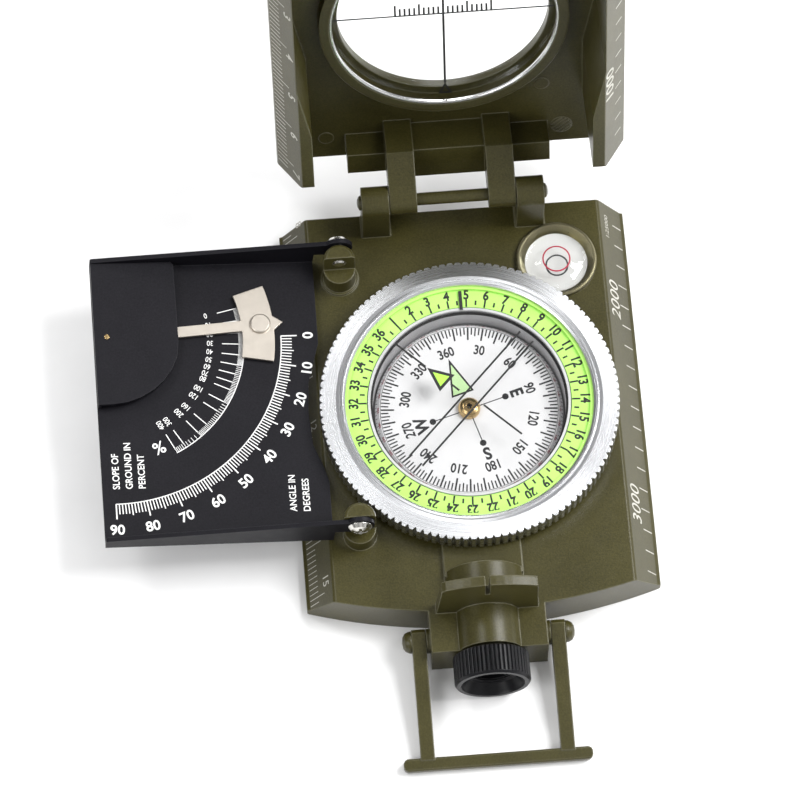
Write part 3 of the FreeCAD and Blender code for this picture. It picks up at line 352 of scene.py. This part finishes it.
class Ink:
    """Thin closed solids drawn in a flat (x, y) layout, in mm, and laid on a surface.

    where maps layout x, y and height to the frame; sink is how deep the ink is bedded.
    """

    def __init__(self, name, body, material, where, slot, thick=0.02, sink=0.004):
        self.name, self.body, self.material = name, body, material
        self.where, self.slot = where, slot
        self.low, self.high, self.thick = -sink, thick - sink, thick
        self.vertices, self.faces = [], []

    def prism(self, outline):
        """Prism over a convex outline given counter-clockwise."""
        n, k = len(outline), len(self.vertices)
        self.vertices += [(x, y, z) for z in (self.low, self.high) for x, y in outline]
        self.faces.append(tuple(range(k + n - 1, k - 1, -1)))
        self.faces.append(tuple(range(k + n, k + 2 * n)))
        for i in range(n):
            j = (i + 1) % n
            self.faces.append((k + i, k + j, k + n + j, k + n + i))

    def line(self, x0, y0, x1, y1, width):
        dx, dy = x1 - x0, y1 - y0
        length = math.hypot(dx, dy)
        nx, ny = -dy / length * width / 2, dx / length * width / 2
        self.prism([(x0 - nx, y0 - ny), (x1 - nx, y1 - ny),
                    (x1 + nx, y1 + ny), (x0 + nx, y0 + ny)])

    def tick(self, x, bottom, top, width):
        self.line(x, bottom, x, top, width)

    def spoke(self, polar, inner, outer, angle, width):
        """Radial line; polar turns radius and angle into a layout point."""
        self.line(*polar(inner, angle), *polar(outer, angle), width)

    def ring(self, cx, cy, radius, width, steps, start=0.0, end=360.0):
        full = abs(end - start) >= 359.99
        count = steps if full else steps + 1
        k = len(self.vertices)
        for i in range(count):
            a = math.radians(start + (end - start) * i / steps)
            for r in (radius - width / 2, radius + width / 2):
                for z in (self.low, self.high):
                    self.vertices.append((cx + r * math.cos(a), cy + r * math.sin(a), z))
        for i in range(steps):
            a, b = k + 4 * i, k + 4 * ((i + 1) % count)
            self.faces += [(a + 1, a + 3, b + 3, b + 1), (a, b, b + 2, a + 2),
                           (a, a + 1, b + 1, b), (a + 2, b + 2, b + 3, a + 3)]
        if not full:
            b = k + 4 * (count - 1)
            self.faces += [(k, k + 2, k + 3, k + 1), (b, b + 1, b + 3, b + 2)]

    def disc(self, cx, cy, radius, steps):
        angles = [2 * math.pi * i / steps for i in range(steps)]
        self.prism([(cx + radius * math.cos(a), cy + radius * math.sin(a)) for a in angles])

    def triangle(self, corners, width):
        """Mitred triangle outline inside the corners; returns the corners of its opening."""
        a, b, c = corners
        sides = (math.dist(b, c), math.dist(c, a), math.dist(a, b))
        perimeter = sum(sides)
        area = abs((b[0] - a[0]) * (c[1] - a[1]) - (c[0] - a[0]) * (b[1] - a[1])) / 2
        scale = 1 - width / (2 * area / perimeter)
        ix, iy = (sum(s * p[i] for s, p in zip(sides, corners)) / perimeter for i in (0, 1))
        opening = [(ix + (x - ix) * scale, iy + (y - iy) * scale) for x, y in corners]
        k = len(self.vertices)
        for pair in zip(corners, opening):
            self.vertices += [(x, y, z) for x, y in pair for z in (self.low, self.high)]
        for i in range(3):
            s, e = k + 4 * i, k + 4 * ((i + 1) % 3)
            self.faces += [(s + 1, e + 1, e + 3, s + 3), (s, s + 2, e + 2, e),
                           (s, e, e + 1, s + 1), (s + 2, s + 3, e + 3, e + 2)]
        return opening

    def text(self, words, x, y, size, turn=0.0, bold=0.0, stretch=1.0, slant=0.0,
             from_left=False):
        """Words of a cap height, centred on (x, y) or starting there."""
        vertices, faces, width = glyphs(words, bold, stretch)
        cos, sin = math.cos(math.radians(turn)), math.sin(math.radians(turn))
        shift = width * size / 2 if from_left else 0.0
        k = len(self.vertices)
        for vx, vy, vz in vertices:
            a, b = (vx + slant * vy) * size + shift, vy * size
            z = (vz + 0.5) * self.thick + self.low
            self.vertices.append((x + a * cos - b * sin, y + a * sin + b * cos, z))
        self.faces += [tuple(i + k for i in face) for face in faces]

    def build(self):
        mesh = bpy.data.meshes.new(self.name)
        points = [Vector(self.where(*v)) * MM for v in self.vertices]
        mesh.from_pydata(points, [], self.faces)
        mesh.validate()
        bm = bmesh.new()
        bm.from_mesh(mesh)
        bmesh.ops.remove_doubles(bm, verts=bm.verts, dist=2e-7)
        bmesh.ops.recalc_face_normals(bm, faces=bm.faces)
        bm.to_mesh(mesh)
        bm.free()
        mesh.materials.append(self.material)
        made = bpy.data.objects.new(self.name, mesh)
        scene.collection.objects.link(made)
        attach(made, self.body)


def flat(height):
    return lambda x, y, z: (x, y, height + z)


def placed(matrix, inner):
    return lambda x, y, z: matrix @ Vector(inner(x, y, z))


def side_face(side, foot, lean, rise):
    """Sloping side of a casting, +1 right or -1 left: foot height, then slope in and up."""
    along = Vector((0, side, 0)).normalized()
    up = Vector((-side * lean, 0, rise)).normalized()
    normal, origin = along.cross(up), Vector((side * 31.2, 0, foot))
    return lambda x, y, z: origin + along * x + up * y + normal * z


def turned(x, y, degrees):
    """Layout point turned counter-clockwise about the origin."""
    cos, sin = math.cos(math.radians(degrees)), math.sin(math.radians(degrees))
    return (x * cos - y * sin, x * sin + y * cos)


def at_bearing(radius, bearing):
    """Point at a radius and a bearing clockwise from +Y."""
    a = math.radians(bearing)
    return (radius * math.sin(a), radius * math.cos(a))


# ------------------------------------------------------------------ base rulers
BASE_SIDE = {"foot": 2.25, "lean": 4.1, "rise": 6.45}

ink = Ink("ruler_base_right", "base", INK_GREY, side_face(1, **BASE_SIDE), "white_card")
for i in range(18):
    ink.tick(36.27 - 4 * i, bottom=0.20, top=3.15, width=0.20)
ink.text("2000", 20.9, 5.15, size=3.1, stretch=0.86, slant=0.12)
ink.text("3000", -19.2, 5.15, size=3.1, stretch=0.86, slant=0.12)
ink.text("1:25000", 35.4, 5.5, size=1.15, stretch=0.9, slant=0.1)
ink.build()

ink = Ink("ruler_base_left", "base", INK_GREY, side_face(-1, **BASE_SIDE), "white_card")
CM_START = 32.02  # first centimetre line, with one more millimetre line beyond it
for i in range(72):
    x, whole_cm = CM_START - i, i % 10 == 0
    ink.tick(x, bottom=0.2, top=5.0 if whole_cm else 3.0, width=0.13)
    if whole_cm:
        ink.text(str(15 - i // 10), x - 2.0, 5.75, size=1.9, stretch=0.9)
ink.tick(CM_START + 1, bottom=0.2, top=3.0, width=0.13)
ink.build()

# ------------------------------------------------------------------ lid
LID = Matrix.Translation((0, 38.35, 18.1)) @ Matrix.Rotation(math.radians(71.8), 4, "X")
LID_SIDE = {"foot": -0.35, "lean": 4.05, "rise": 6.7}

ink = Ink("ruler_lid_left", "lid", INK_GREY, placed(LID, side_face(-1, **LID_SIDE)),
          "white_card")
for i in range(61):
    x, whole_cm = -(13.4 + i), i % 10 == 2
    ink.tick(x, bottom=0.35, top=5.2 if whole_cm else 3.3, width=0.16)
    if whole_cm:
        ink.text(str(7 - i // 10), x + 1.7, 6.0, size=2.1, bold=0.01, stretch=0.9)
ink.build()

ink = Ink("ruler_lid_right", "lid", INK_GREY, placed(LID, side_face(1, **LID_SIDE)),
          "white_card")
for i in range(15):
    ink.tick(16.2 + 4 * i, bottom=1.5, top=3.8, width=0.2)
ink.text("1000", 31.5, 6.1, size=3.0, bold=0.008, stretch=0.95, slant=0.12)
ink.text("1:50000", 62.0, 5.6, size=1.2, stretch=0.9, slant=0.1)
ink.build()

# Cross lines with a tick scale, and a triangle outline at the hinge end.
ink = Ink("lid_reticle", "lid", INK_BLACK, placed(LID, flat(-12.95)), "black_paint", sink=0.002)
CROSS_Y = 34.15
ink.line(-19.9, CROSS_Y, 19.9, CROSS_Y, width=0.32)
ink.tick(0, bottom=16.45, top=53.6, width=0.42)
for i in range(-10, 11):
    if i:
        ink.tick(i * 0.86, CROSS_Y, CROSS_Y + (2.7 if i % 5 == 0 else 1.8), width=0.36)
ink.triangle([(0, 16.5), (-1.25, 13.78), (1.25, 13.78)], width=0.36)
ink.build()

# ------------------------------------------------------------------ dial ring
ink = Ink("dial_figures", "bezel", INK_BLACK, flat(13.40), "black_paint",
          thick=0.015, sink=0.003)
for number in range(1, 37):
    bearing = (number - 4.7) * 10
    ink.text(str(number), *at_bearing(20.92, bearing), size=1.74, turn=-bearing,
             bold=0.038, stretch=0.86)
    ink.spoke(at_bearing, 18.46, 19.95, bearing, width=0.34)
    ink.spoke(at_bearing, 18.85, 19.75, bearing + 5, width=0.34)
ink.build()

# ------------------------------------------------------------------ bezel glass
GLASS_TOP = flat(13.93)
ARROW_TURN = 46.0  # counter-clockwise from +Y
# Strokes x0, y0, x1, y1, drawn with the arrow along +Y and then turned.
GLASS_STROKES = (
    (0, 17.3, 0, 10.2), (0.3, 4.6, 0.3, 2.6), (0.9, -2.6, 0.9, -11.4),
    (-15.2, 1.42, 16.2, 1.42), (-15.2, -1.58, 16.2, -1.58),
)
ink = Ink("glass_lines", "bezel", INK_BLACK, GLASS_TOP, "black_paint", thick=0.018, sink=0.018)
for x0, y0, x1, y1 in GLASS_STROKES:
    ink.line(*turned(x0, y0, ARROW_TURN), *turned(x1, y1, ARROW_TURN), width=0.36)
corners = [turned(x, y, ARROW_TURN) for x, y in ((0.0, 9.85), (-2.1, 5.15), (2.1, 5.15))]
opening = ink.triangle(corners, width=0.55)
ink.build()
ink = Ink("glass_arrow", "bezel", INK_LUME, GLASS_TOP, "lume_dial", thick=0.016, sink=0.018)
ink.prism(opening)
ink.build()

# ------------------------------------------------------------------ compass card
NORTH = 16.3  # the card's north, counter-clockwise from +Y
CARD_TOP = 9.60
RIM_RADIUS, RIM_WIDTH, RIM_DROP = 16.25, 0.75, 1.1  # sloping rim
RIM_LIFT = 0.004  # ink above the rim


def on_card(radius, value):
    return at_bearing(radius, value - NORTH)


def on_rim(x, y, z):
    share = (math.hypot(x, y) - RIM_RADIUS) / RIM_WIDTH
    return (x, y, CARD_TOP - share * RIM_DROP + z + RIM_LIFT)


ink = Ink("card_figures", "card", INK_CHARCOAL, flat(CARD_TOP), "black_paint",
          thick=0.015, sink=0.003)
for i in range(144):
    inner = 13.55 if i % 4 == 0 else (14.35 if i % 2 == 0 else 14.6)
    ink.spoke(on_card, inner, 15.95, i * 2.5, width=0.25 if i % 4 else 0.32)
for value in range(30, 361, 30):
    ink.text(str(value), *on_card(11.75, value), size=1.80, turn=NORTH - value,
             bold=0.026, stretch=0.80)
for letter, value in (("E", 90), ("S", 180), ("W", 270)):
    ink.text(letter, *on_card(9.25, value), size=2.3, turn=NORTH - value,
             bold=0.036, stretch=0.9)
    ink.spoke(on_card, 1.9, 6.9, value, width=0.18)
    ink.disc(*on_card(7.0, value), radius=0.6, steps=24)
corners = [turned(x, y, NORTH) for x, y in ((0.0, 10.5), (-2.15, 3.15), (2.15, 3.15))]
opening = ink.triangle(corners, width=0.33)
ink.ring(0, 0, radius=16.06, width=0.10, steps=144)
ink.build()

ink = Ink("card_north", "card", INK_PALE, flat(CARD_TOP), "lume_dial", thick=0.012, sink=0.003)
ink.prism(opening)
ink.build()

ink = Ink("card_rim_ticks", "card", INK_CHARCOAL, on_rim, "black_paint", sink=0.0)
for i in range(144):
    ink.spoke(on_card, 16.72 if i % 2 else 16.62, 16.97, i * 2.5, width=0.11)
ink.build()

ink = Ink("card_rim_red", "card", INK_RED, on_rim, "white_card", sink=0.0)
for value in range(0, 360, 10):
    ink.text(str(value), *on_card(16.45, value), size=0.34, turn=NORTH - value,
             bold=0.02, stretch=1.5)
ink.build()

# ------------------------------------------------------------------ clinometer
CLINO = Matrix.Translation((-21.4, 0, 15.9)) @ Matrix.Rotation(math.radians(6.0), 4, "Y")
PIVOT_X, PIVOT_Y = -42.6, 16.15  # centre of both scales
PERCENT_ZERO = 13.5  # the percent scale starts this far above +X
PERCENT_TICKS = (*range(0, 50), *range(50, 100, 2), *range(100, 200, 5), *range(200, 401, 20))
PERCENT_LABELS = (0, 10, 20, 30, 40, 50, 60, 70, 80, 100, 120, 160, 200, 300, 400)
# Words, x, y where they start.
CLINO_WORDS = (
    ("SLOPE OF", -42.4, -12.6), ("GROUND IN", -40.1, -12.6), ("PERCENT", -37.8, -12.6),
    ("ANGLE IN", -11.0, -18.0), ("DEGREES", -8.6, -18.0),
)


def from_pivot(radius, angle):
    """Point at a radius and an angle in degrees below +X about the pivot."""
    a = math.radians(-angle)
    return (PIVOT_X + radius * math.cos(a), PIVOT_Y + radius * math.sin(a))


def slope_angle(percent):
    return math.degrees(math.atan(percent / 100.0)) - PERCENT_ZERO


ink = Ink("clinometer_scales", "clinometer", INK_WHITE, placed(CLINO, flat(-5.6)),
          "white_card")
ink.ring(PIVOT_X, PIVOT_Y, radius=31.62, width=0.19, steps=90, start=-90, end=0)
for value in range(91):
    outer = 34.5 if value % 10 == 0 else (33.9 if value % 5 == 0 else 33.55)
    ink.spoke(from_pivot, 31.6, outer, value, width=0.19 if value % 10 else 0.24)
for value in range(0, 91, 10):
    ink.text(str(value), *from_pivot(36.45, value), size=1.85, turn=90 - value,
             bold=0.022, stretch=1.02)
ink.ring(PIVOT_X, PIVOT_Y, radius=24.9, width=0.18, steps=90, start=-62.7, end=PERCENT_ZERO)
for percent in PERCENT_TICKS:
    ink.spoke(from_pivot, 23.9, 24.95, slope_angle(percent), width=0.10)
for percent in PERCENT_LABELS:
    angle = slope_angle(percent)
    ink.spoke(from_pivot, 20.9, 24.3, angle, width=0.17)
    ink.text(str(percent), *from_pivot(18.7 if percent < 160 else 18.9, angle), size=1.02,
             turn=180 - angle, bold=0.004, stretch=0.84)
ink.text("%", *from_pivot(22.6, 68.5), size=2.3, turn=22, bold=0.01)
for words, x, y in CLINO_WORDS:
    ink.text(words, x, y, size=1.25, turn=90, bold=0.012, stretch=0.9, from_left=True)
ink.build()

# ------------------------------------------------------------------ bubble level
LEVEL_X, LEVEL_Y = 18.3, 28.2
DOME_FOOT, DOME_RISE, DOME_RADIUS = 8.505, 1.6, 5.7
LEVEL_DIAL_TOP = 7.605


def on_dome(x, y, z):
    height = DOME_RISE * math.sqrt(1 - (x * x + y * y) / DOME_RADIUS ** 2)
    return (LEVEL_X + x, LEVEL_Y + y, DOME_FOOT + height + z)


def on_level_dial(x, y, z):
    return (LEVEL_X + x, LEVEL_Y + y, LEVEL_DIAL_TOP + z)


ink = Ink("level_circle_red", "base", INK_RED, on_dome, "white_card", thick=0.03, sink=0.0)
ink.ring(0, 0, radius=2.45, width=0.27, steps=64)
ink.build()
ink = Ink("level_circle_black", "base", INK_CHARCOAL, on_level_dial, "black_paint",
          thick=0.014, sink=0.003)
ink.ring(0.1, -0.5, radius=1.9, width=0.30, steps=64)
ink.build()


# ------------------------------------------------------------------ floor
def build_floor():
    bm = bmesh.new()
    bmesh.ops.create_grid(bm, x_segments=24, y_segments=24, size=1.6)
    mesh = bpy.data.meshes.new("floor")
    bm.to_mesh(mesh)
    bm.free()
    floor = bpy.data.objects.new("floor", mesh)
    floor.location = (0, 0, -0.0001)  # just clear of the case
    mesh.materials.append(plastic("floor_white", dark=(0.93, 0.93, 0.93),
                                  light=(0.95, 0.95, 0.95), rough=(0.6, 0.7),
                                  grain=300.0, strength=0.0))
    scene.collection.objects.link(floor)


# ------------------------------------------------------------------ world
def build_world():
    """Grey studio: bright band by height, soft patches, darker towards -X."""
    world = bpy.data.worlds.new("studio")
    world.use_nodes = True
    tree = world.node_tree
    direction = node(tree, "ShaderNodeTexCoord").outputs["Generated"]
    split = node(tree, "ShaderNodeSeparateXYZ", {0: direction}).outputs
    band = ramp(tree, split["Z"], [
        (0.0, (0.62, 0.62, 0.63)), (0.45, (1.0, 1.0, 1.0)),
        (0.80, (0.82, 0.82, 0.82)), (1.0, (0.80, 0.80, 0.80)),
    ])
    patches = ramp(tree, noise(tree, scale=2.6, detail=1.0, rough=0.5, vector=direction),
                   [(0.42, (0.55, 0.55, 0.56)), (0.56, (1.2, 1.2, 1.2))])
    both = node(tree, "ShaderNodeMix", {"Factor": 1.0, "A": band, "B": patches},
                data_type="RGBA", blend_type="MULTIPLY")
    side = span(tree, split["X"], low=0.45, high=1.5, start=-0.9, end=0.9)
    lit = node(tree, "ShaderNodeVectorMath", {0: both.outputs["Result"], "Scale": side},
               operation="SCALE")
    background = tree.nodes["Background"]
    feed(tree, background.inputs["Color"], lit.outputs["Vector"])
    background.inputs["Strength"].default_value = 0.72
    scene.world = world


# ------------------------------------------------------------------ lights
def area_light(name, location, size, power, target=(0, 0, 0), size_y=None):
    light = bpy.data.lights.new(name, "AREA")
    light.energy = power
    light.size = size
    if size_y:
        light.shape = "RECTANGLE"
        light.size_y = size_y
    lamp = bpy.data.objects.new(name, light)
    lamp.location = location
    aim = Vector(target) - Vector(location)
    lamp.rotation_euler = aim.to_track_quat("-Z", "Y").to_euler()
    scene.collection.objects.link(lamp)


# ------------------------------------------------------------------ camera
def rotation_matrix(vector):
    """Rotation about a vector by its length in radians."""
    angle = math.sqrt(sum(c * c for c in vector))
    x, y, z = (c / angle for c in vector)
    cross = Matrix(((0, -z, y), (z, 0, -x), (-y, x, 0)))
    turn = cross * math.sin(angle) + (cross @ cross) * (1 - math.cos(angle))
    return Matrix.Identity(3) + turn


def build_camera():
    # The rows are the camera's right, down and forward axes.
    right, down, forward = rotation_matrix((2.74814316, -0.106867184, 0.0198046597))
    axes = Matrix((right, -down, -forward)).transposed()
    data = bpy.data.cameras.new("camera")
    data.sensor_width = 36.0
    data.lens = 228.9004623
    data.clip_start = 0.05
    data.clip_end = 20
    camera = bpy.data.objects.new("camera", data)
    place = Matrix.Translation((-0.03862030, -0.34661568, 0.85816302))
    camera.matrix_world = place @ axes.to_4x4()
    scene.collection.objects.link(camera)
    scene.camera = camera


build_floor()
build_world()
area_light("key", (0.62, 0.10, 0.80), size=0.5, power=12.0)
area_light("fill", (-0.75, -0.45, 0.75), size=0.7, power=5.0)
area_light("fan", (-0.46, 0.42, 0.92), size=0.28, power=2.2)
area_light("back", (0.05, 0.95, 0.42), size=0.6, power=4.0, target=(0, 0, 0.02), size_y=0.25)
build_camera()
scene.view_settings.view_transform = "Standard"
scene.view_settings.look = "None"
scene.view_settings.exposure = 0.0
